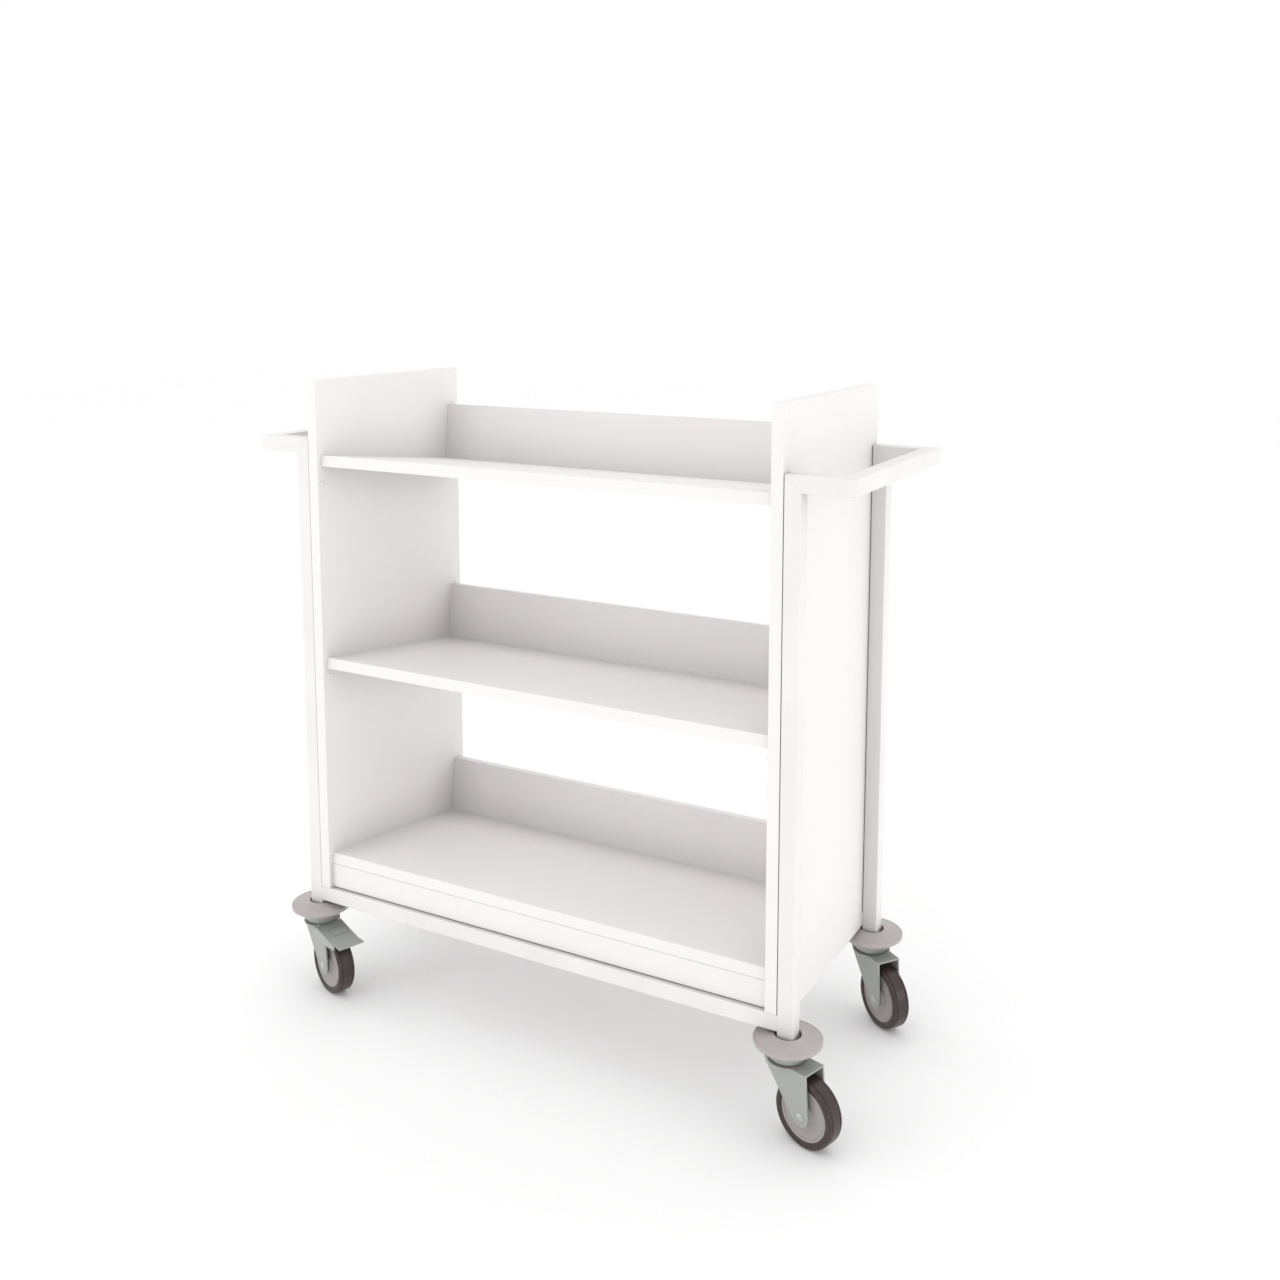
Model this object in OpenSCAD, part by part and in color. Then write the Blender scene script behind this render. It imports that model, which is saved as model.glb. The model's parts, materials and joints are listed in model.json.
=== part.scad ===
// Three-shelf ward trolley: two board sides and three tilted board shelves in a
// square-tube frame with a push handle at each end and four swivel casters.
// Millimetres, +Z up, origin on the floor at the centre of the footprint.
// The front of the trolley faces -Y; left and right are as seen from the front.

/* [Overall] */
// clear width between the two side panels
inner_w = 803; // [500:1:1200]
// depth over the posts
depth = 382; // [300:1:600]
// height of the side panels above the floor
panel_top = 1045; // [800:1:1300]
// height of the handle tubes above the floor
handle_top = 950; // [700:1:1100]
// underside of the bottom rails above the floor
rail_z = 154; // [120:1:220]

/* [Frame] */
// outside size of the square tube
tube = 25; // [20:1:40]
// wall of the square tube
tube_wall = 1.5; // [1:0.1:3]
// outer corner radius of the square tube
tube_corner = 2; // [1.6:0.1:4]
// reach of a handle from the seam between post and panel
handle_reach = 102; // [60:1:160]

/* [Boards] */
// thickness of every board
board = 18; // [12:1:25]
// backward tilt of the shelves in degrees
shelf_tilt = 7.3; // [0:0.1:15]
// front top edge of the bottom shelf above the floor
bottom_shelf_z = 240; // [200:1:400]
// height from one shelf to the next
shelf_pitch = 341; // [250:1:420]
// shelf depth from its front edge to the upstand
shelf_d = 334.5; // [200:0.5:500]
// set-back of the shelves behind the panel edges
shelf_recess = 10; // [0:1:40]
// height of the upstands above the shelves
upstand_h = 100; // [30:1:200]

/* [Casters] */
// wheel diameter
wheel_d = 100; // [75:1:160]
// tyre width
tyre_w = 29; // [20:1:45]
// horizontal distance from the swivel axis to the axle
trail = 39; // [20:1:60]
// bumper disc diameter
bumper_d = 100; // [70:1:140]
// rest heading of the front right caster in degrees
yaw_front_right = -17; // [-180:1:180]
// rest heading of the front left caster in degrees
yaw_front_left = -21; // [-180:1:180]
// rest heading of the rear right caster in degrees
yaw_rear_right = -36; // [-180:1:180]
// rest heading of the rear left caster in degrees
yaw_rear_left = 18; // [-180:1:180]
// downward slope of a released brake pedal in degrees
pedal_slope = 9.3; // [0:0.1:20]
// travel of a brake pedal in degrees
pedal_travel = 8; // [4:0.5:12]

/* [Hidden] */
$fn = 96;
eps = 1;

// frame
seam = 0.8;
panel_in = inner_w / 2;
panel_out = panel_in + board;
post_in = panel_out + seam;
post_out = post_in + tube;
post_x = post_in + tube / 2;
post_y = depth / 2 - tube / 2;
front_y = -depth / 2;
rail_top = rail_z + tube;
handle_out = panel_out + seam / 2 + handle_reach;

post_bottom = rail_z - 12;

// boards
shelf_front_y = front_y + shelf_recess;
upstand_drop = 15;
fascia_gap = 1.5;
shelf_seam = 0.5;
dowel_r = 4;
dowel_in_panel = 12;
dowel_in_shelf = 20;
dowel_at = [50, 280];
upstand_screw_x = [-300, 0, 300];
upstand_screw_len = 48;
upstand_screw_n = -7;
panel_screw_inset = 10;
panel_screw_z = [549, 875];
fit = 0.05;

// caster heights above the floor and radii from the swivel axis
wheel_r = wheel_d / 2;
disc_r = bumper_d / 2;
disc_top = rail_z - 4;
disc_bottom = disc_top - 13;
recess_r = 19.3;
recess_floor = post_bottom;
head_top_r = 40;
head_bottom_r = 25;
head_gap = 0.3;
fork_top = disc_bottom - 23;
stem_r = 6;
stem_flange_r = 11;
stem_flange_t = 6;
expander_r = tube / 2 - tube_wall - 0.3;
expander_top = post_bottom + 50;

// fork, sized along the trail from the swivel axis
fork_half = 20.5;
fork_sheet = 2.5;
fork_back = -26;
fork_front = trail + 9.5;
fork_plate_r = 30;
leg_end_r = 14.5;
braked_plate_front = 17;
braked_leg_top = fork_top - 5.5;
braked_leg_front = fork_top - 14.5;

// wheel
hub_r = wheel_r - 11;
hub_half = 12.5;
hub_boss_r = 13;
hub_boss_half = 15.5;
hub_bush_r = 7;
hub_bush_half = fork_half - fork_sheet - 0.3;
axle_r = 4;
axle_head_r = 6.5;
axle_nut_r = 7;

// brake, in a frame that turns about the pedal pin
pin_at = [20, 101];
pin_r = 2.5;
pedal_sheet = 1.6;
pedal_inner = fork_half + 1.7;
pedal_outer = pedal_inner + pedal_sheet;
pedal_back = -1;
pedal_len = 65.5;
pedal_face = 12.1;
flange_knee = [41, -1.4];
flange_toe = 5.2;
flange_lobe_r = 7.5;
lip_len = 14;
lip_rise = 7;
lip_side = [-20.5, pedal_outer + 1.5];
pad_at = [23, 39];
pad_side = [-9, 15];
pad_h = 2;
shoe_at = [22, 43];
shoe_half = 12;
shoe_gap = 0.4;

// colours as seen
board_white = [0.94, 0.92, 0.91];
frame_white = [0.95, 0.93, 0.92];
disc_grey = [0.66, 0.60, 0.59];
steel_grey = [0.58, 0.60, 0.57];
hub_grey = [0.62, 0.58, 0.57];
tyre_brown = [0.16, 0.12, 0.11];
bolt_grey = [0.60, 0.62, 0.60];
screw_white = [0.90, 0.89, 0.87];
dowel_wood = [0.80, 0.66, 0.46];

// ---------------------------------------------------------------- helpers

// A box from its low corner to its high corner.
module block(low, high) {
    translate(low) cube(high - low);
}

// A cylinder along Y between two y values.
module rod_y(r, y0, y1) {
    translate([0, y0, 0]) rotate([-90, 0, 0]) cylinder(h = y1 - y0, r = r);
}

// A cylinder along X between two x values.
module rod_x(r, x0, x1) {
    translate([x0, 0, 0]) rotate([0, 90, 0]) cylinder(h = x1 - x0, r = r);
}

// A flat outline drawn in X and Z, extruded along Y between two y values.
module slab_xz(points, y0, y1) {
    translate([0, y1, 0]) rotate([90, 0, 0]) linear_extrude(height = y1 - y0) polygon(points);
}

// Puts its children on the right (side = 1) or the left (side = -1).
module on_side(side) {
    if (side > 0) children();
    else mirror([1, 0, 0]) children();
}

// ---------------------------------------------------------------- boards

// The frame of one shelf: X across, Y back along its top face, Z out of it.
module shelf_frame(level) {
    translate([0, shelf_front_y, bottom_shelf_z + level * shelf_pitch])
        rotate([-shelf_tilt, 0, 0]) children();
}

module shelf_dowel_set(r, level) {
    shelf_frame(level)
        for (side = [-1, 1], y = dowel_at)
            translate([side * panel_in, y, -board / 2])
                on_side(side) rod_x(r, -dowel_in_shelf, dowel_in_panel);
}

module upstand_screw_set(r, head_r, level) {
    shelf_frame(level)
        for (x = upstand_screw_x)
            translate([x, shelf_d + board, upstand_screw_n])
                union() {
                    rod_y(r, -upstand_screw_len, -eps);
                    translate([0, -3, 0]) rotate([-90, 0, 0]) cylinder(h = 3, r1 = r, r2 = head_r);
                }
}

module shelf(level) {
    color(board_white)
        difference() {
            shelf_frame(level) block([-panel_in, 0, -board], [panel_in, shelf_d, 0]);
            shelf_dowel_set(dowel_r + fit, level);
            upstand_screw_set(2 + fit, 4 + fit, level);
        }
}

module upstand(level) {
    color(board_white)
        difference() {
            shelf_frame(level)
                block([-panel_in, shelf_d, -upstand_drop], [panel_in, shelf_d + board, upstand_h]);
            upstand_screw_set(2 + fit, 4 + fit, level);
        }
}

// The panel stands on the rails: it is notched round them and bored for its fixings.
module side_panel(side) {
    color(board_white)
        difference() {
            on_side(side) block([panel_in, front_y, rail_z], [panel_out, -front_y, panel_top]);
            for (end = [0, 1])
                mirror([0, end, 0])
                    block([-post_in, front_y - eps, rail_z - eps], [post_in, front_y + tube, rail_top]);
            for (level = [0, 1, 2]) shelf_dowel_set(dowel_r + fit, level);
            panel_screw_holes(side);
        }
}

module fascia() {
    front = shelf_front_y - board * sin(shelf_tilt);
    top = bottom_shelf_z - board * cos(shelf_tilt) - shelf_seam;
    color(board_white)
        rotate([0, 0, 90])
            slab_xz([
                [front, rail_top + fascia_gap], [front + board, rail_top + fascia_gap],
                [front + board, top - board * tan(shelf_tilt)], [front, top]
            ], -panel_in, panel_in);
}

// ---------------------------------------------------------------- frame

// A square outline with round corners, grown inwards by an inset.
module round_square(inset) {
    r = tube_corner - inset;
    union() {
        translate([inset, tube_corner]) square([tube - 2 * inset, tube - 2 * tube_corner]);
        translate([tube_corner, inset]) square([tube - 2 * tube_corner, tube - 2 * inset]);
        for (x = [tube_corner, tube - tube_corner], y = [tube_corner, tube - tube_corner])
            translate([x, y]) circle(r = r, $fn = 48);
    }
}

// A square tube along Z with its low corner at the origin.
module tube_z(length) {
    difference() {
        linear_extrude(height = length) round_square(0);
        translate([0, 0, -eps]) linear_extrude(height = length + 2 * eps) round_square(tube_wall);
    }
}

// The right-hand post, with its top mitred for the handle arm.
module post(side, end) {
    color(frame_white)
        on_side(side)
            difference() {
                translate([post_in, end * post_y - tube / 2, post_bottom])
                    tube_z(handle_top - post_bottom);
                slab_xz([
                    [post_in, handle_top], [post_out, handle_top - tube],
                    [post_out + eps, handle_top - tube], [post_out + eps, handle_top + eps],
                    [post_in, handle_top + eps]
                ], -depth, depth);
                panel_screw_holes(1);
            }
}

// A handle arm, mitred to the post below it and to the bar at its outer end.
module handle_arm(side, end) {
    color(frame_white)
        on_side(side)
            mirror([0, end > 0 ? 1 : 0, 0])
                difference() {
                    translate([post_in, front_y, handle_top])
                        rotate([0, 90, 0]) tube_z(handle_out - post_in);
                    slab_xz([
                        [post_in - eps, handle_top + eps], [post_in, handle_top],
                        [post_out, handle_top - tube], [post_out, handle_top - tube - eps],
                        [post_in - eps, handle_top - tube - eps]
                    ], -depth, depth);
                    translate([0, 0, handle_top - tube - eps])
                        linear_extrude(height = tube + 2 * eps)
                            polygon([
                                [handle_out, front_y], [handle_out - tube, front_y + tube],
                                [handle_out - tube, front_y + tube + eps],
                                [handle_out + eps, front_y + tube + eps], [handle_out + eps, front_y]
                            ]);
                }
}

module handle_bar(side) {
    color(frame_white)
        on_side(side)
            difference() {
                translate([handle_out - tube, depth / 2, handle_top - tube])
                    rotate([90, 0, 0]) tube_z(depth);
                for (end = [0, 1])
                    mirror([0, end, 0])
                        translate([0, 0, handle_top - tube - eps])
                            linear_extrude(height = tube + 2 * eps)
                                polygon([
                                    [handle_out, front_y], [handle_out - tube, front_y + tube],
                                    [handle_out - tube - eps, front_y + tube],
                                    [handle_out - tube - eps, front_y - eps],
                                    [handle_out, front_y - eps]
                                ]);
            }
}

module rail(end) {
    color(frame_white)
        translate([-post_in, end * post_y - tube / 2, rail_top])
            rotate([0, 90, 0]) tube_z(2 * post_in);
}

// ---------------------------------------------------------------- fasteners

module at_panel_screws(side) {
    for (z = panel_screw_z, end = [-1, 1])
        translate([0, end * (depth / 2 - panel_screw_inset), z])
            on_side(side) children();
}

module panel_screw_holes(side) {
    at_panel_screws(side) rod_x(2.5 + fit, panel_in - eps, post_in + 2 * tube_wall);
}

// Socket-head screws from inside, through each panel into its posts.
module panel_screw_group() {
    color(screw_white)
        for (side = [-1, 1])
            at_panel_screws(side)
                difference() {
                    union() {
                        rod_x(2.5, panel_in - eps, post_in + tube_wall + 3);
                        rod_x(3.2, panel_in - 4.5, panel_in);
                    }
                    translate([panel_in - 5.5, 0, 0]) rotate([0, 90, 0]) cylinder(h = 3.5, r = 1.9, $fn = 6);
                }
}

module shelf_dowel_group() {
    color(dowel_wood)
        for (level = [0, 1, 2]) shelf_dowel_set(dowel_r, level);
}

module upstand_screw_group() {
    color(bolt_grey)
        for (level = [0, 1, 2]) upstand_screw_set(2, 4, level);
}

// ---------------------------------------------------------------- casters

// Puts its children at one corner; nothing here turns with the caster.
module at_corner(side, end) {
    translate([side * post_x, end * post_y, 0]) children();
}

// Puts its children at one corner, turned to the caster's rest heading.
module at_caster(side, end, yaw) {
    at_corner(side, end) rotate([0, 0, yaw]) children();
}

module bumper_disc(side, end) {
    color(disc_grey)
        at_corner(side, end)
            rotate_extrude()
                polygon([
                    [stem_r + fit, disc_bottom], [disc_r - 3, disc_bottom],
                    [disc_r - 1, disc_bottom + 1.2], [disc_r, disc_bottom + 2.4],
                    [disc_r, disc_bottom + 5], [disc_r - 0.7, disc_bottom + 6],
                    [disc_r - 2.2, disc_bottom + 6.7],
                    [recess_r, disc_top], [recess_r, recess_floor], [stem_r + fit, recess_floor]
                ]);
}

// The fixed stem: a plug in the post, the kingpin the fork turns on and its flange.
module stem(side, end) {
    color(bolt_grey)
        at_corner(side, end)
            union() {
                translate([0, 0, fork_top - fork_sheet - 0.3 - stem_flange_t])
                    cylinder(h = stem_flange_t, r = stem_flange_r);
                translate([0, 0, fork_top - fork_sheet - 1])
                    cylinder(h = expander_top - fork_top, r = stem_r);
                translate([0, 0, post_bottom + 0.5])
                    cylinder(h = expander_top - post_bottom, r = expander_r);
            }
}

// The pressed bowl between disc and fork; it is welded to the fork and turns with it.
module swivel_head(side, end) {
    top = disc_bottom - head_gap;
    color(steel_grey)
        at_corner(side, end)
            rotate_extrude()
                polygon([
                    [stem_r + fit, fork_top], [head_bottom_r - 1.2, fork_top],
                    [head_bottom_r, fork_top + 0.8], [head_top_r - 1, top - 3.5],
                    [head_top_r, top - 2], [head_top_r, top - 0.6], [head_top_r - 0.6, top],
                    [stem_r + fit, top]
                ]);
}

// The point where a line from p touches the leg's round end on its back side.
function leg_tangent(p) =
    let (away = p - [trail, wheel_r], turn = atan2(away[1], away[0]) + acos(leg_end_r / norm(away)))
    [trail + leg_end_r * cos(turn), wheel_r + leg_end_r * sin(turn)];

module fork_leg(top_edge) {
    back = [fork_back, fork_top - 3];
    union() {
        slab_xz(concat(
            [back, [fork_back, fork_top]], top_edge,
            [[trail + leg_end_r, wheel_r], [trail, wheel_r], leg_tangent(back)]
        ), fork_half - fork_sheet, fork_half);
        translate([trail, 0, wheel_r]) rod_y(leg_end_r, fork_half - fork_sheet, fork_half);
    }
}

module fork_plate(front) {
    intersection() {
        translate([0, 0, fork_top - fork_sheet])
            union() {
                cylinder(h = fork_sheet, r = fork_plate_r);
                block([fork_back, -fork_half, 0], [front, fork_half, fork_sheet]);
            }
        block([-disc_r, -disc_r, 0], [front, disc_r, disc_top]);
    }
}

module fork(side, end, yaw, braked) {
    top_edge = braked
        ? [[braked_plate_front, fork_top], [braked_plate_front, braked_leg_top],
           [fork_front, braked_leg_front]]
        : [[fork_front, fork_top]];
    color(steel_grey)
        at_caster(side, end, yaw)
            difference() {
                union() {
                    fork_plate(braked ? braked_plate_front : fork_front);
                    for (flip = [0, 1]) mirror([0, flip, 0]) fork_leg(top_edge);
                }
                cylinder(h = disc_top, r = stem_r + fit);
                translate([trail, 0, wheel_r]) rod_y(axle_r + fit, -disc_r, disc_r);
                if (braked)
                    translate([pin_at[0], 0, pin_at[1]]) rod_y(pin_r + fit, -disc_r, disc_r);
            }
}

module at_axle(side, end, yaw) {
    at_caster(side, end, yaw) translate([trail, 0, wheel_r]) children();
}

// The axle bolt with its domed head towards the front, and its nut.
module axle_bolt(side, end, yaw) {
    dome_r = 9;
    color(bolt_grey)
        at_axle(side, end, yaw) {
            union() {
                rod_y(axle_r, -fork_half - 1, fork_half + 7);
                intersection() {
                    rod_y(axle_head_r, -fork_half - 4, -fork_half);
                    translate([0, -fork_half - 3.5 + dome_r, 0]) sphere(r = dome_r);
                }
            }
            difference() {
                translate([0, fork_half, 0]) rotate([-90, 0, 0]) cylinder(h = 5, r = axle_nut_r, $fn = 6);
                rod_y(axle_r + fit, fork_half - eps, fork_half + 6);
            }
        }
}

module wheel_hub(side, end, yaw) {
    half = [
        [axle_r + fit, hub_bush_half], [hub_bush_r, hub_bush_half], [hub_bush_r, hub_boss_half],
        [hub_boss_r, hub_boss_half], [hub_boss_r + 2.5, hub_half - 1.2],
        [hub_r - 3, hub_half - 1.2], [hub_r - 2, hub_half], [hub_r, hub_half]
    ];
    last = len(half) - 1;
    other_half = [for (i = [last:-1:0]) [half[i][0], -half[i][1]]];
    color(hub_grey)
        at_axle(side, end, yaw)
            rotate([90, 0, 0]) rotate_extrude() polygon(concat(half, other_half));
}

module tyre(side, end, yaw) {
    w = tyre_w / 2;
    color(tyre_brown)
        at_axle(side, end, yaw)
            rotate([90, 0, 0])
                rotate_extrude()
                    polygon([
                        [hub_r, -w + 1.6], [hub_r + 3, -w + 0.5],
                        [wheel_r - 4, -w], [wheel_r - 2.2, -w + 0.9],
                        [wheel_r - 0.8, -w + 2.6], [wheel_r, -w + 5.5], [wheel_r, w - 5.5],
                        [wheel_r - 0.8, w - 2.6], [wheel_r - 2.2, w - 0.9], [wheel_r - 4, w],
                        [hub_r + 3, w - 0.5], [hub_r, w - 1.6]
                    ]);
}

// ---------------------------------------------------------------- brakes

// The released pedal's frame: X along the plate from the pin, Z out of its face.
module at_pedal(side, end, yaw) {
    at_caster(side, end, yaw)
        translate([pin_at[0], 0, pin_at[1]]) rotate([0, pedal_slope, 0]) children();
}

module brake_pedal(side, end, yaw) {
    color(steel_grey)
        at_pedal(side, end, yaw)
            difference() {
                union() {
                    block([pedal_back, -pedal_outer, pedal_face - pedal_sheet],
                          [pedal_len, pedal_outer, pedal_face]);
                    for (flip = [0, 1])
                        mirror([0, flip, 0]) {
                            slab_xz([
                                [pedal_back, pedal_face], [pedal_len, pedal_face], [pedal_len, flange_toe],
                                flange_knee, [0, -flange_lobe_r], [pedal_back, 0]
                            ], pedal_inner, pedal_outer);
                            rod_y(flange_lobe_r, pedal_inner, pedal_outer);
                        }
                    translate([pedal_len, 0, pedal_face])
                        rotate([0, -lip_rise, 0])
                            block([-0.5, lip_side[0], -pedal_sheet], [lip_len, lip_side[1], 0]);
                    block([pad_at[0], pad_side[0], pedal_face - eps],
                          [pad_at[1], pad_side[1], pedal_face + pad_h]);
                }
                rod_y(pin_r + fit, -disc_r, disc_r);
            }
}

// The shoe under the plate, hollowed to lie on the tyre when the pedal is down.
module brake_shoe(side, end, yaw) {
    down = pedal_slope + pedal_travel;
    from_pin = [trail - pin_at[0], wheel_r - pin_at[1]];
    axle_x = from_pin[0] * cos(down) - from_pin[1] * sin(down);
    axle_z = from_pin[0] * sin(down) + from_pin[1] * cos(down);
    color(tyre_brown)
        at_pedal(side, end, yaw)
            difference() {
                block([shoe_at[0], -shoe_half, pedal_face - pedal_sheet - 7],
                      [shoe_at[1], shoe_half, pedal_face - pedal_sheet]);
                translate([axle_x, 0, axle_z]) rod_y(wheel_r + shoe_gap, -disc_r, disc_r);
            }
}

module pedal_pin(side, end, yaw) {
    color(bolt_grey)
        at_caster(side, end, yaw)
            translate([pin_at[0], 0, pin_at[1]]) rod_y(pin_r, -pedal_outer, pedal_outer);
}

// ---------------------------------------------------------------- nodes

side_panel(-1);  // side_panel_left
side_panel(1);  // side_panel_right
shelf(2);  // top_shelf
shelf(1);  // middle_shelf
shelf(0);  // bottom_shelf
upstand(2);  // top_upstand
upstand(1);  // middle_upstand
upstand(0);  // bottom_upstand
fascia();  // fascia_board
post(-1, -1);  // front_left_post
post(1, -1);  // front_right_post
post(-1, 1);  // rear_left_post
post(1, 1);  // rear_right_post
handle_arm(-1, -1);  // left_handle_front_arm
handle_bar(-1);  // left_handle_bar
handle_arm(-1, 1);  // left_handle_rear_arm
handle_arm(1, -1);  // right_handle_front_arm
handle_bar(1);  // right_handle_bar
handle_arm(1, 1);  // right_handle_rear_arm
rail(-1);  // front_rail
rail(1);  // rear_rail
panel_screw_group();  // panel_screws
shelf_dowel_group();  // shelf_dowels
upstand_screw_group();  // upstand_screws
bumper_disc(-1, -1);  // front_left_bumper_disc
stem(-1, -1);  // front_left_stem
swivel_head(-1, -1);  // front_left_swivel_head
fork(-1, -1, yaw_front_left, true);  // front_left_fork
axle_bolt(-1, -1, yaw_front_left);  // front_left_axle_bolt
wheel_hub(-1, -1, yaw_front_left);  // front_left_wheel_hub
tyre(-1, -1, yaw_front_left);  // front_left_tyre
brake_pedal(-1, -1, yaw_front_left);  // front_left_brake_pedal
brake_shoe(-1, -1, yaw_front_left);  // front_left_brake_shoe
pedal_pin(-1, -1, yaw_front_left);  // front_left_pedal_pin
bumper_disc(-1, 1);  // rear_left_bumper_disc
stem(-1, 1);  // rear_left_stem
swivel_head(-1, 1);  // rear_left_swivel_head
fork(-1, 1, yaw_rear_left, true);  // rear_left_fork
axle_bolt(-1, 1, yaw_rear_left);  // rear_left_axle_bolt
wheel_hub(-1, 1, yaw_rear_left);  // rear_left_wheel_hub
tyre(-1, 1, yaw_rear_left);  // rear_left_tyre
brake_pedal(-1, 1, yaw_rear_left);  // rear_left_brake_pedal
brake_shoe(-1, 1, yaw_rear_left);  // rear_left_brake_shoe
pedal_pin(-1, 1, yaw_rear_left);  // rear_left_pedal_pin
bumper_disc(1, -1);  // front_right_bumper_disc
stem(1, -1);  // front_right_stem
swivel_head(1, -1);  // front_right_swivel_head
fork(1, -1, yaw_front_right, false);  // front_right_fork
axle_bolt(1, -1, yaw_front_right);  // front_right_axle_bolt
wheel_hub(1, -1, yaw_front_right);  // front_right_wheel_hub
tyre(1, -1, yaw_front_right);  // front_right_tyre
bumper_disc(1, 1);  // rear_right_bumper_disc
stem(1, 1);  // rear_right_stem
swivel_head(1, 1);  // rear_right_swivel_head
fork(1, 1, yaw_rear_right, false);  // rear_right_fork
axle_bolt(1, 1, yaw_rear_right);  // rear_right_axle_bolt
wheel_hub(1, 1, yaw_rear_right);  // rear_right_wheel_hub
tyre(1, 1, yaw_rear_right);  // rear_right_tyre
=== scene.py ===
"""Looks of the ward trolley: finishes, rounded edges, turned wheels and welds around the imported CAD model."""
import json
from math import cos, pi, radians, sin

import bmesh
import bpy
from mathutils import Matrix, Vector


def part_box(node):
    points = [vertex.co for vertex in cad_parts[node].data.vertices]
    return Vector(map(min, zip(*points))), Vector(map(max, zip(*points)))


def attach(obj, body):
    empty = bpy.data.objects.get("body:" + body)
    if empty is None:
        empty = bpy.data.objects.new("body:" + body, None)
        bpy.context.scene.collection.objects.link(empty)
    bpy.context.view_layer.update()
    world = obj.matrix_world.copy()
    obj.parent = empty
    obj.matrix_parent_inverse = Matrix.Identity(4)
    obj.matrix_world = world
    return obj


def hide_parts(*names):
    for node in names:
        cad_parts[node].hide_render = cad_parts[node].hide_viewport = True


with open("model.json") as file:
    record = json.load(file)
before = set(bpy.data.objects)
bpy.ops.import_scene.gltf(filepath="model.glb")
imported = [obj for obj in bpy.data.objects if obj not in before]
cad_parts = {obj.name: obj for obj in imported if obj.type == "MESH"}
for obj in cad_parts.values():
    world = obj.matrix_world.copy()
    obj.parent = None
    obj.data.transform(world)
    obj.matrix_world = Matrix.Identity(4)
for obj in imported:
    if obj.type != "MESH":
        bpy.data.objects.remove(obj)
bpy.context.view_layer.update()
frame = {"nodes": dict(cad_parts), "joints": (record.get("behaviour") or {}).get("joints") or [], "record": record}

MM = 0.001


# ---------------------------------------------------------------- materials

def new_material(name):
    """A new material with its node tree and its shader."""
    material = bpy.data.materials.new(name)
    material.use_nodes = True
    tree = material.node_tree
    return material, tree, tree.nodes["Principled BSDF"]


def add(tree, kind, **values):
    """A shader node, with its sockets set by name."""
    node = tree.nodes.new(kind)
    for key, value in values.items():
        node.inputs[key].default_value = value
    return node


def noise(tree, place, scale, detail=3.0, roughness=0.55):
    """A noise factor; the scale is in features to the metre."""
    node = add(tree, "ShaderNodeTexNoise", Scale=scale, Detail=detail, Roughness=roughness)
    tree.links.new(place, node.inputs["Vector"])
    return node.outputs["Fac"]


def spread(tree, fac, low, high, start=0.3, end=0.7):
    """Maps a factor from start..end to low..high."""
    node = tree.nodes.new("ShaderNodeMapRange")
    for key, value in (("From Min", start), ("From Max", end), ("To Min", low), ("To Max", high)):
        node.inputs[key].default_value = value
    tree.links.new(fac, node.inputs["Value"])
    return node.outputs["Result"]


def mixed(tree, fac, colour_a, colour_b):
    """A mix of two colours; each is a plain colour or another node's output."""
    node = tree.nodes.new("ShaderNodeMix")
    node.data_type = "RGBA"
    tree.links.new(fac, node.inputs["Factor"])
    for socket, colour in ((node.inputs[6], colour_a), (node.inputs[7], colour_b)):
        if isinstance(colour, tuple):
            socket.default_value = (*colour, 1.0)
        else:
            tree.links.new(colour, socket)
    return node.outputs[2]


def bump(tree, shader, height, strength, distance, under=None):
    """Bump from a height, on top of an earlier bump where one is given."""
    node = add(tree, "ShaderNodeBump", Strength=strength, Distance=distance)
    tree.links.new(height, node.inputs["Height"])
    if under:
        tree.links.new(under, node.inputs["Normal"])
    tree.links.new(node.outputs["Normal"], shader.inputs["Normal"])
    return node.outputs["Normal"]


def edge_mask(tree, radius):
    """1 on sharp edges within the radius, 0 on flat faces."""
    soft = tree.nodes.new("ShaderNodeBevel")
    soft.samples = 6
    soft.inputs["Radius"].default_value = radius
    plain = tree.nodes.new("ShaderNodeNewGeometry")
    dot = tree.nodes.new("ShaderNodeVectorMath")
    dot.operation = "DOT_PRODUCT"
    tree.links.new(soft.outputs["Normal"], dot.inputs[0])
    tree.links.new(plain.outputs["Normal"], dot.inputs[1])
    return spread(tree, dot.outputs["Value"], 1.0, 0.0, 0.75, 0.98)


def open_to_air(tree, reach, closed=0.12, clear=0.42):
    """An ambient-occlusion factor, used to paint shade: 1 in the open, 0 where other surfaces within the reach
    leave only the closed part of the air.
    """
    gap = tree.nodes.new("ShaderNodeAmbientOcclusion")
    gap.samples = 8
    gap.inputs["Distance"].default_value = reach
    return spread(tree, gap.outputs["AO"], 0.0, 1.0, closed, clear)


def object_place(tree, stretch=(1.0, 1.0, 1.0)):
    """The piece's own coordinates in metres, stretched along each axis."""
    place = tree.nodes.new("ShaderNodeTexCoord").outputs["Object"]
    node = tree.nodes.new("ShaderNodeMapping")
    node.inputs["Scale"].default_value = stretch
    tree.links.new(place, node.inputs["Vector"])
    return node.outputs["Vector"]


def scaled(colour, factor):
    return tuple(channel * factor for channel in colour)


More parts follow.
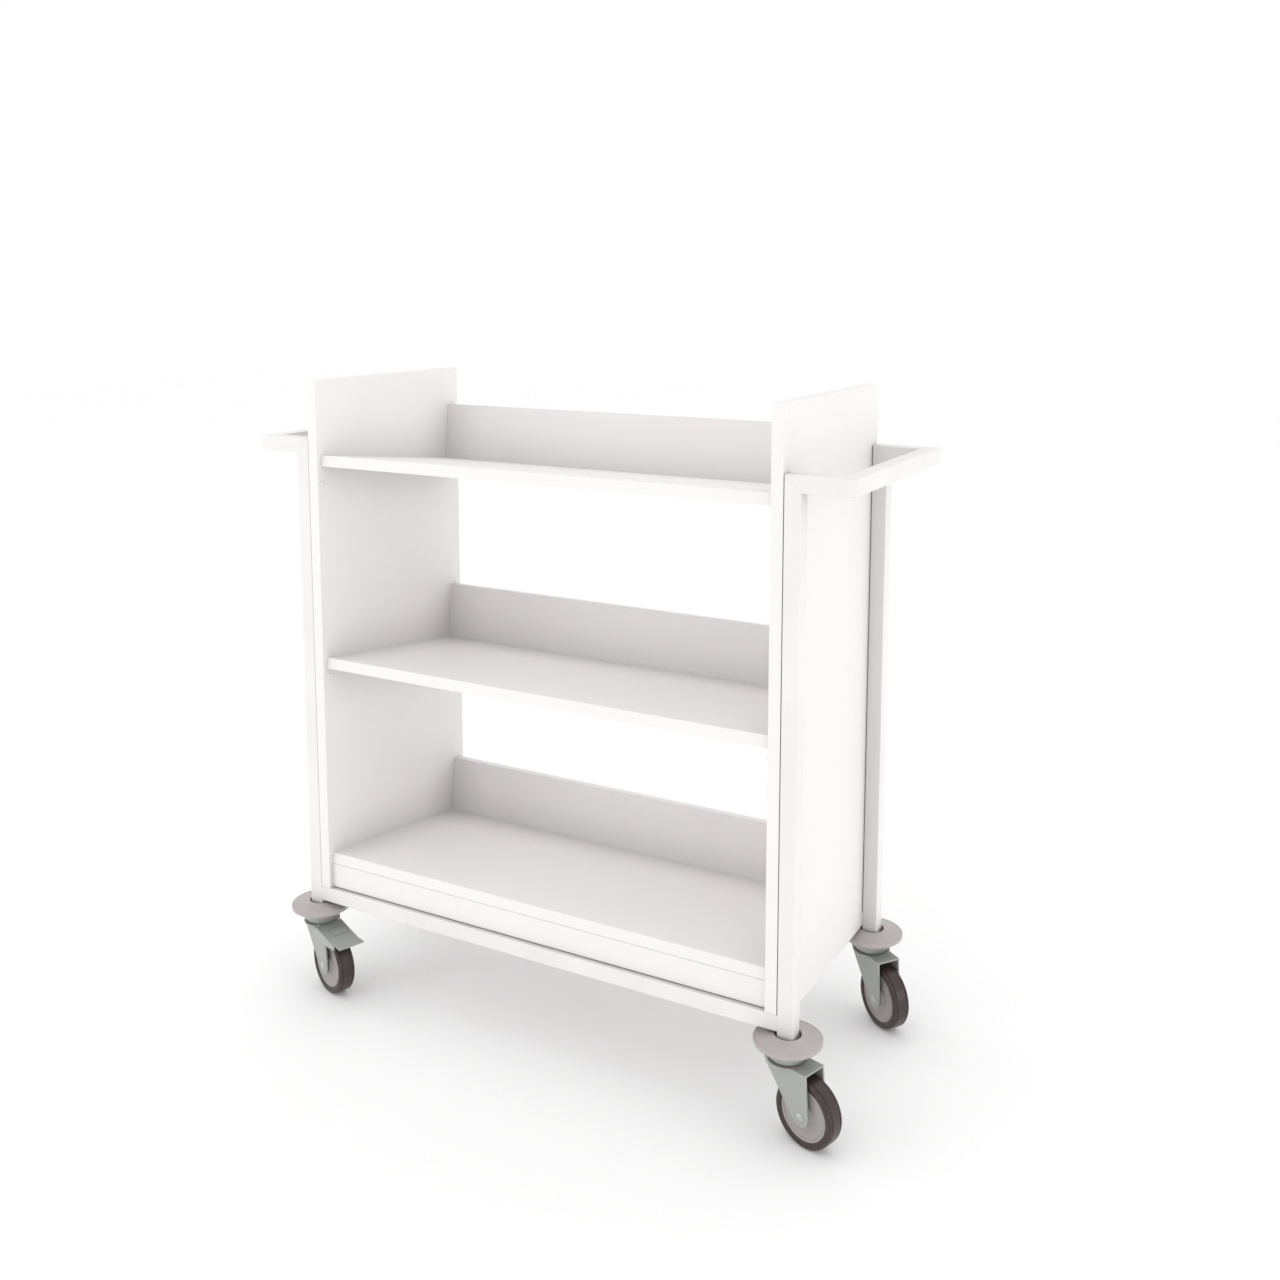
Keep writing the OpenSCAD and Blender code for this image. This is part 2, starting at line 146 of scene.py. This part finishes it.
def board_material(name, white):
    """White melamine: a fine orange-peel emboss, faint mottling and slightly yellowed edges worn by rubbing, and
    painted shade darkening its inner corners.
    """
    material, tree, shader = new_material(name)
    place = object_place(tree)
    mottle = spread(tree, noise(tree, place, 5.0, 4.0), 0.0, 1.0)
    tone = mixed(tree, mottle, white, scaled(white, 0.975))
    edge_toned = mixed(tree, edge_mask(tree, 0.0012), tone, scaled(white, 0.95))
    # Painted shade: the board's colour darkens to 0.78 of the white in its inner corners, by ambient occlusion.
    corner = open_to_air(tree, 0.09, 0.35, 0.95)
    tree.links.new(mixed(tree, corner, scaled(white, 0.78), edge_toned), shader.inputs["Base Color"])
    smudge = noise(tree, place, 14.0, 5.0)
    tree.links.new(spread(tree, smudge, 0.40, 0.52), shader.inputs["Roughness"])
    shader.inputs["Specular IOR Level"].default_value = 0.35
    grain = noise(tree, place, 1400.0, 2.0)
    wave = noise(tree, place, 22.0, 2.0)
    under = bump(tree, shader, wave, 0.05, 0.0008)
    bump(tree, shader, grain, 0.10, 0.00012, under)
    return material


def coat_material(name, colour, roughness, wear, wear_colour, peel=0.16, corner_shade_tone=0.66, gap_shade_tone=0.50):
    """Powder coat or paint: orange peel, mottling, wear broken up along edges, and painted shade darkening corners
    and gaps.
    """
    material, tree, shader = new_material(name)
    place = object_place(tree)
    mottle = spread(tree, noise(tree, place, 9.0, 5.0), 0.0, 1.0)
    tone = mixed(tree, mottle, colour, scaled(colour, 0.94))
    edge = edge_mask(tree, 0.0011)
    broken = spread(tree, noise(tree, place, 260.0, 3.0), 0.0, wear, 0.45, 0.72)
    worn = tree.nodes.new("ShaderNodeMath")
    worn.operation = "MULTIPLY"
    tree.links.new(edge, worn.inputs[0])
    tree.links.new(broken, worn.inputs[1])
    edge_toned = mixed(tree, worn.outputs[0], tone, wear_colour)
    # Painted shade: by ambient occlusion the colour darkens to the corner tone in corners and to the gap tone in
    # narrow gaps.
    corner = mixed(tree, open_to_air(tree, 0.12, 0.35, 0.95), scaled(colour, corner_shade_tone), edge_toned)
    painted_gap_shade = mixed(tree, open_to_air(tree, 0.010), scaled(colour, gap_shade_tone), corner)
    tree.links.new(painted_gap_shade, shader.inputs["Base Color"])
    smudge = noise(tree, place, 40.0, 4.0)
    tree.links.new(spread(tree, smudge, roughness - 0.05, roughness + 0.09), shader.inputs["Roughness"])
    shader.inputs["Specular IOR Level"].default_value = 0.4
    bump(tree, shader, noise(tree, place, 700.0, 2.0), peel, 0.00012)
    return material


def steel_material(name, colour, roughness):
    """Zinc-plated steel with a cloudy plating and fine scratches."""
    material, tree, shader = new_material(name)
    place = object_place(tree)
    cloud = spread(tree, noise(tree, place, 160.0, 4.0), 0.0, 1.0)
    tree.links.new(mixed(tree, cloud, colour, scaled(colour, 0.82)), shader.inputs["Base Color"])
    shader.inputs["Metallic"].default_value = 0.6
    tree.links.new(
        spread(tree, noise(tree, place, 420.0, 3.0), roughness - 0.06, roughness + 0.10),
        shader.inputs["Roughness"],
    )
    scratch = noise(tree, object_place(tree, (1.0, 1.0, 9.0)), 900.0, 2.0)
    bump(tree, shader, scratch, 0.12, 0.0001)
    return material


def plastic_material(name, colour, roughness, rim_radius=0.0010, rim_highlight_gain=1.18):
    """Moulded plastic: a spark-eroded grain, flow mottling, pale rims painted on as highlights and painted shade
    in narrow gaps.
    """
    material, tree, shader = new_material(name)
    place = object_place(tree)
    flow = spread(tree, noise(tree, place, 30.0, 4.0), 0.0, 1.0)
    tone = mixed(tree, flow, colour, scaled(colour, 0.93))
    # Painted highlight: sharp rims are lightened to the rim gain times the colour.
    edge_toned = mixed(tree, edge_mask(tree, rim_radius), tone, scaled(colour, rim_highlight_gain))
    # Painted shade: narrow gaps darken to a tenth of the colour, by ambient occlusion.
    painted_gap_shade = mixed(tree, open_to_air(tree, 0.010), scaled(colour, 0.10), edge_toned)
    tree.links.new(painted_gap_shade, shader.inputs["Base Color"])
    tree.links.new(
        spread(tree, noise(tree, place, 90.0, 3.0), roughness - 0.04, roughness + 0.08),
        shader.inputs["Roughness"],
    )
    bump(tree, shader, noise(tree, place, 1700.0, 2.0), 0.18, 0.0001)
    return material


def tyre_material():
    """Elastic rubber, scuffed and dusty in patches."""
    material, tree, shader = new_material("tyre_rubber")
    place = object_place(tree)
    base = (0.040, 0.023, 0.022)
    dust = (0.070, 0.048, 0.045)
    scuff = spread(tree, noise(tree, place, 110.0, 5.0, 0.65), 0.0, 0.60, 0.42, 0.72)
    tree.links.new(mixed(tree, scuff, base, dust), shader.inputs["Base Color"])
    tree.links.new(spread(tree, noise(tree, place, 60.0, 4.0), 0.26, 0.38), shader.inputs["Roughness"])
    shader.inputs["Specular IOR Level"].default_value = 0.5
    under = bump(tree, shader, noise(tree, place, 160.0, 3.0), 0.10, 0.0004)
    bump(tree, shader, noise(tree, place, 1500.0, 2.0), 0.25, 0.0001, under)
    return material


def wood_material():
    """Bare beech along X, for the dowels inside the boards."""
    material, tree, shader = new_material("beech")
    grain = spread(tree, noise(tree, object_place(tree, (1.0, 14.0, 14.0)), 60.0, 4.0), 0.0, 1.0)
    tree.links.new(mixed(tree, grain, (0.66, 0.46, 0.27), (0.50, 0.33, 0.18)), shader.inputs["Base Color"])
    tree.links.new(spread(tree, grain, 0.50, 0.70), shader.inputs["Roughness"])
    bump(tree, shader, grain, 0.2, 0.0002)
    return material


WHITE_BOARD = (0.918, 0.896, 0.890)
WHITE_COAT = (0.895, 0.873, 0.866)
GREY_PAINT = (0.415, 0.432, 0.416)
MATERIALS = {
    "white_board": board_material("white_melamine", WHITE_BOARD),
    "white_tube": coat_material("white_powder_coat", WHITE_COAT, 0.36, 0.35, (0.80, 0.79, 0.77)),
    # For the screws and the grey paint, the corner and gap tones set how dark the painted shade gets in corners
    # and gaps.
    "white_screw": coat_material(
        "white_screw_paint", (0.93, 0.92, 0.91), 0.34, 0.5, (0.70, 0.70, 0.70),
        corner_shade_tone=1.0, gap_shade_tone=0.9,
    ),
    "dowel_wood": wood_material(),
    "zinc_steel": steel_material("zinc_plate", (0.56, 0.58, 0.565), 0.40),
    # Painted highlight: the bumper's rims are lightened to 1.7 times its colour.
    "grey_bumper": plastic_material("bumper_plastic", (0.480, 0.433, 0.434), 0.42, 0.0016, 1.7),
    "grey_paint": coat_material(
        "grey_green_paint", GREY_PAINT, 0.40, 0.6, (0.60, 0.62, 0.60), 0.12,
        corner_shade_tone=0.80, gap_shade_tone=0.45,
    ),
    # The hub and the shoe rubber keep the default painted highlight on their rims.
    "grey_hub": plastic_material("hub_plastic", (0.380, 0.350, 0.345), 0.46),
    "dark_tyre": tyre_material(),
    "black_rubber": plastic_material("shoe_rubber", (0.035, 0.034, 0.034), 0.62),
}
# Painted shade: the upstands get a copy of the white board at 0.93 of its colour, for their being lit less than
# the front faces.
SHADED_UPSTAND_MELAMINE = board_material("white_melamine_upstand_shaded", scaled(WHITE_BOARD, 0.93))


def paint(obj, material):
    obj.data.materials.clear()
    obj.data.materials.append(material)


# ---------------------------------------------------------------- pieces

def piece(name, mesh_builder, body, slot, smooth_angle=35.0):
    """A new mesh piece: built by mesh_builder in a bmesh, riding on a body, in one material."""
    bm = bmesh.new()
    mesh_builder(bm)
    bmesh.ops.recalc_face_normals(bm, faces=bm.faces)
    mesh = bpy.data.meshes.new(name)
    bm.to_mesh(mesh)
    bm.free()
    obj = bpy.data.objects.new(name, mesh)
    bpy.context.scene.collection.objects.link(obj)
    mesh.shade_smooth()
    mesh.set_sharp_from_angle(angle=radians(smooth_angle))
    paint(obj, MATERIALS[slot])
    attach(obj, body)
    return obj


def lathe(bm, profile, place, steps=96):
    """Turns a closed profile of (radius, height) points in mm about Z, then puts it in place."""
    rings = []
    for radius, height in profile:
        ring = []
        for i in range(steps):
            turn = 2 * pi * i / steps
            point = Vector((radius * cos(turn), radius * sin(turn), height)) * MM
            ring.append(bm.verts.new(place @ point))
        rings.append(ring)
    for ring, after in zip(rings, rings[1:] + rings[:1]):
        for i in range(steps):
            j = (i + 1) % steps
            bm.faces.new((ring[i], ring[j], after[j], after[i]))


def rounded(points, radius, steps=4):
    """The closed outline with every corner rounded; a corner takes less where its sides are short."""
    outline = []
    for i, point in enumerate(points):
        here = Vector(point)
        before = Vector(points[i - 1]) - here
        after = Vector(points[(i + 1) % len(points)]) - here
        back = min(radius, before.length * 0.45, after.length * 0.45)
        start = here + before.normalized() * back
        end = here + after.normalized() * back
        for k in range(steps + 1):
            t = k / steps
            outline.append(tuple(start * (1 - t) ** 2 + here * 2 * t * (1 - t) + end * t ** 2))
    return outline


def both_sides(half):
    """A wheel's outline from its half: (radius, side) points, mirrored to the other side."""
    return half + [(radius, -side) for radius, side in reversed(half)]


# ---------------------------------------------------------------- CAD nodes

SLOT_OF = {entry["node"]: entry["material_slot"] for entry in frame["record"]["subparts"]}
EDGE_RADIUS = {
    "white_board": 0.0008,
    "white_tube": 0.0006,
    "grey_paint": 0.0006,
}


def soften(obj, radius):
    """Rounds a CAD node's sharp edges with modifiers, leaving its mesh alone."""
    weld = obj.modifiers.new("weld", "WELD")
    weld.merge_threshold = 1e-5
    flat = obj.modifiers.new("flat", "DECIMATE")
    flat.decimate_type = "DISSOLVE"
    flat.angle_limit = radians(0.5)
    edge = obj.modifiers.new("rounded", "BEVEL")
    edge.width = radius
    edge.segments = 2
    edge.limit_method = "ANGLE"
    edge.angle_limit = radians(40)
    edge.use_clamp_overlap = True
    shaded = obj.modifiers.new("shaded", "WEIGHTED_NORMAL")
    shaded.keep_sharp = True


for name, node in frame["nodes"].items():
    slot = SLOT_OF[name]
    # Upstands take the shaded copy of the board.
    paint(node, SHADED_UPSTAND_MELAMINE if name.endswith("_upstand") else MATERIALS[slot])
    if slot in EDGE_RADIUS:
        node.data.shade_smooth()
        soften(node, EDGE_RADIUS[slot])


# ---------------------------------------------------------------- sizes and places from the frame, in mm

JOINTS = {joint["name"]: joint for joint in frame["joints"]}
post_low, post_high = (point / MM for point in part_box("front_right_post"))
disc_low, disc_high = (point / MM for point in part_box("front_right_bumper_disc"))
rail_low, rail_high = (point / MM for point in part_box("front_rail"))
TUBE = post_high.x - post_low.x
POST_IN = post_low.x
POST_FRONT = -post_low.y
RECESS_FLOOR = post_low.z
DISC_TOP = disc_high.z
DISC_BOTTOM = disc_low.z
RAIL_BOTTOM = rail_low.z
RAIL_TOP = rail_high.z

# Which way each corner lies along X and along Y.
CORNERS = {
    "front_left": (-1, -1),
    "front_right": (1, -1),
    "rear_left": (-1, 1),
    "rear_right": (1, 1),
}


# ---------------------------------------------------------------- casters

WHEEL_R = 50.0
TYRE_HALF = 14.5
HUB_R = 39.0
HUB_HALF = 12.5
AXLE_BORE = 4.05
BUSH_R = 7.0
BUSH_HALF = 17.7
BOSS_HALF = 15.5
DISC_R = 50.0
RECESS_R = 19.3
STEM_BORE = 6.05

# Outlines of (radius, height) in mm. The tyre has a groove inside each shoulder, the hub a bead ring on its
# web and a raised rim, and the disc a raised rim and the recess for the post's foot.
TYRE_PROFILE = rounded(both_sides([
    (HUB_R, TYRE_HALF - 1.6), (HUB_R + 3.0, TYRE_HALF - 0.5), (WHEEL_R - 4.4, TYRE_HALF),
    (WHEEL_R - 1.6, TYRE_HALF - 1.2), (WHEEL_R - 0.3, TYRE_HALF - 3.9), (WHEEL_R - 0.2, TYRE_HALF - 5.1),
    (WHEEL_R - 1.2, TYRE_HALF - 5.4), (WHEEL_R - 1.2, TYRE_HALF - 6.0), (WHEEL_R - 0.05, TYRE_HALF - 6.3),
    (WHEEL_R, 4.0),
]), 0.9)
HUB_PROFILE = rounded(both_sides([
    (AXLE_BORE, BUSH_HALF), (BUSH_R, BUSH_HALF), (BUSH_R, BOSS_HALF), (12.4, BOSS_HALF),
    (13.4, BOSS_HALF - 0.9), (15.6, HUB_HALF - 0.9), (24.0, HUB_HALF - 1.3), (24.6, HUB_HALF - 0.8),
    (25.6, HUB_HALF - 0.8), (26.2, HUB_HALF - 1.3), (HUB_R - 4.4, HUB_HALF - 1.5),
    (HUB_R - 3.4, HUB_HALF), (HUB_R - 0.3, HUB_HALF), (HUB_R, HUB_HALF - 0.5),
]), 0.7)
DISC_PROFILE = rounded([
    (STEM_BORE, DISC_BOTTOM), (DISC_R - 2.2, DISC_BOTTOM), (DISC_R - 0.4, DISC_BOTTOM + 0.9),
    (DISC_R, DISC_BOTTOM + 2.4), (DISC_R, DISC_BOTTOM + 6.3), (DISC_R - 0.8, DISC_BOTTOM + 7.1),
    (DISC_R - 2.1, DISC_BOTTOM + 7.1), (DISC_R - 3.1, DISC_BOTTOM + 6.5), (RECESS_R + 1.3, DISC_TOP),
    (RECESS_R, DISC_TOP - 0.6), (RECESS_R, RECESS_FLOOR), (STEM_BORE, RECESS_FLOOR),
], 0.5)


def post_place(corner):
    """From coordinates on the floor under a post to the shared frame."""
    x, y, _ = JOINTS[corner + "_swivel"]["pos_m"]
    return Matrix.Translation((x, y, 0.0))


def wheel_place(corner):
    """From wheel coordinates, with Z along the axle, to the shared frame."""
    spin = JOINTS[corner + "_wheel_spin"]
    along_axle = Vector(spin["axis"]).to_track_quat("Z", "Y").to_matrix().to_4x4()
    return Matrix.Translation(spin["pos_m"]) @ along_axle


for corner in CORNERS:
    axle = wheel_place(corner)
    post = post_place(corner)
    for part, profile, place, body, slot in (
        ("tyre", TYRE_PROFILE, axle, corner + "_wheel", "dark_tyre"),
        ("wheel_hub", HUB_PROFILE, axle, corner + "_wheel", "grey_hub"),
        ("bumper_disc", DISC_PROFILE, post, "frame", "grey_bumper"),
    ):
        node = corner + "_" + part
        turned = piece(node + "_turned", lambda bm, p=profile, m=place: lathe(bm, p, m), body, slot)
        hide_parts(node)


# ---------------------------------------------------------------- welds

BEAD_STEPS = 26
ARCH_STEPS = 8
BEAD_HALF = 1.9
FLUSH_HEIGHT = 0.92
FILLET_HEIGHT = 2.0


def bead(bm, start, end, out, height, seed):
    """A weld bead from start to end: a strip arched outwards, rippling in height and in width along X."""
    across = Vector((1.0, 0.0, 0.0))
    rows = []
    for i in range(BEAD_STEPS + 1):
        along = start.lerp(end, i / BEAD_STEPS)
        taper = min(1.0, 5.0 * min(i, BEAD_STEPS - i) / BEAD_STEPS + 0.15)
        ripple = 1.0 + 0.10 * sin(i * 2.1 + seed) + 0.06 * sin(i * 5.3 + 2.0 * seed)
        row = []
        for k in range(ARCH_STEPS + 1):
            turn = pi * k / ARCH_STEPS
            sideways = -cos(turn) * BEAD_HALF * ripple
            outward = sin(turn) * height * ripple * taper
            row.append(bm.verts.new((along + (across * sideways + out * outward)) * MM))
        rows.append(row)
    for row, after in zip(rows, rows[1:]):
        for k in range(ARCH_STEPS):
            bm.faces.new((row[k], row[k + 1], after[k + 1], after[k]))
        bm.faces.new((row[0], after[0], after[-1], row[-1]))
    bm.faces.new(rows[0])
    bm.faces.new(rows[-1])


def rail_welds(bm, side, end):
    """The flush beads that close the groove between a rail's end and its post, and the one underneath."""
    groove_x = side * (POST_IN + 0.7)
    low = RAIL_BOTTOM + 1.2
    high = RAIL_TOP - 1.0
    for face_y, out in ((end * POST_FRONT, end), (end * (POST_FRONT - TUBE), -end)):
        foot = face_y - out * 0.9
        start = Vector((groove_x, foot, low))
        stop = Vector((groove_x, foot, high))
        bead(bm, start, stop, Vector((0.0, out, 0.0)), FLUSH_HEIGHT, side + 3.0 * end)
    under_x = side * (POST_IN + 0.2)
    under_z = RAIL_BOTTOM + 0.4
    start = Vector((under_x, end * (POST_FRONT - TUBE + 2.5), under_z))
    stop = Vector((under_x, end * (POST_FRONT - 2.5), under_z))
    bead(bm, start, stop, Vector((-0.35 * side, 0.0, -1.0)), FILLET_HEIGHT, 5.0 + side - end)


for corner, (side, end) in CORNERS.items():
    piece(corner + "_rail_weld", lambda bm, s=side, e=end: rail_welds(bm, s, e), "frame", "white_tube", 60.0)


# ---------------------------------------------------------------- floor, light and camera

def floor():
    """A wide pale floor under the wheels."""
    mesh = bpy.data.meshes.new("floor")
    half = 12.0
    outline = [(-half, -half, 0), (half, -half, 0), (half, half, 0), (-half, half, 0)]
    mesh.from_pydata(outline, [], [(0, 1, 2, 3)])
    obj = bpy.data.objects.new("floor", mesh)
    bpy.context.scene.collection.objects.link(obj)
    material, tree, shader = new_material("pale_floor")
    place = object_place(tree)
    tone = spread(tree, noise(tree, place, 1.5, 2.0), 0.0, 1.0)
    tree.links.new(mixed(tree, tone, (1.0, 1.0, 1.0), (0.995, 0.995, 0.995)), shader.inputs["Base Color"])
    shader.inputs["Roughness"].default_value = 0.85
    shader.inputs["Specular IOR Level"].default_value = 0.1
    mesh.materials.append(material)


LIGHT_SIZE = 2.6
LIGHT_TARGET = Vector((0.0, 0.0, 0.5))


def area_light(name, place, power):
    """A soft round light that looks at the trolley's middle."""
    data = bpy.data.lights.new(name, "AREA")
    data.shape = "DISK"
    data.size = LIGHT_SIZE
    data.energy = power
    obj = bpy.data.objects.new(name, data)
    bpy.context.scene.collection.objects.link(obj)
    obj.location = place
    obj.rotation_euler = (LIGHT_TARGET - Vector(place)).to_track_quat("-Z", "Y").to_euler()


def surroundings():
    """White all round, at full strength."""
    world = bpy.data.worlds.new("studio")
    world.use_nodes = True
    world.node_tree.nodes["Background"].inputs["Color"].default_value = (1.0, 1.0, 1.0, 1.0)
    world.node_tree.nodes["Background"].inputs["Strength"].default_value = 1.0
    bpy.context.scene.world = world


def camera():
    """The camera looks a little down with its frame shifted down, so that uprights stay nearly upright."""
    data = bpy.data.cameras.new("camera")
    data.sensor_width = 36.0
    data.lens = 37.709
    data.shift_y = -0.15
    data.clip_end = 100.0
    obj = bpy.data.objects.new("camera", data)
    bpy.context.scene.collection.objects.link(obj)
    obj.location = (1.1069, -1.8383, 1.2096)
    obj.rotation_euler = (radians(82.793), 0.0, radians(28.822))
    bpy.context.scene.camera = obj


floor()
area_light("key", (-3.0, -3.6, 2.2), 16.0)
area_light("right_fill", (5.0, -0.6, 1.6), 20.0)
area_light("left_fill", (-5.0, 0.0, 2.2), 20.0)
surroundings()
camera()
bpy.context.scene.view_settings.view_transform = "Standard"
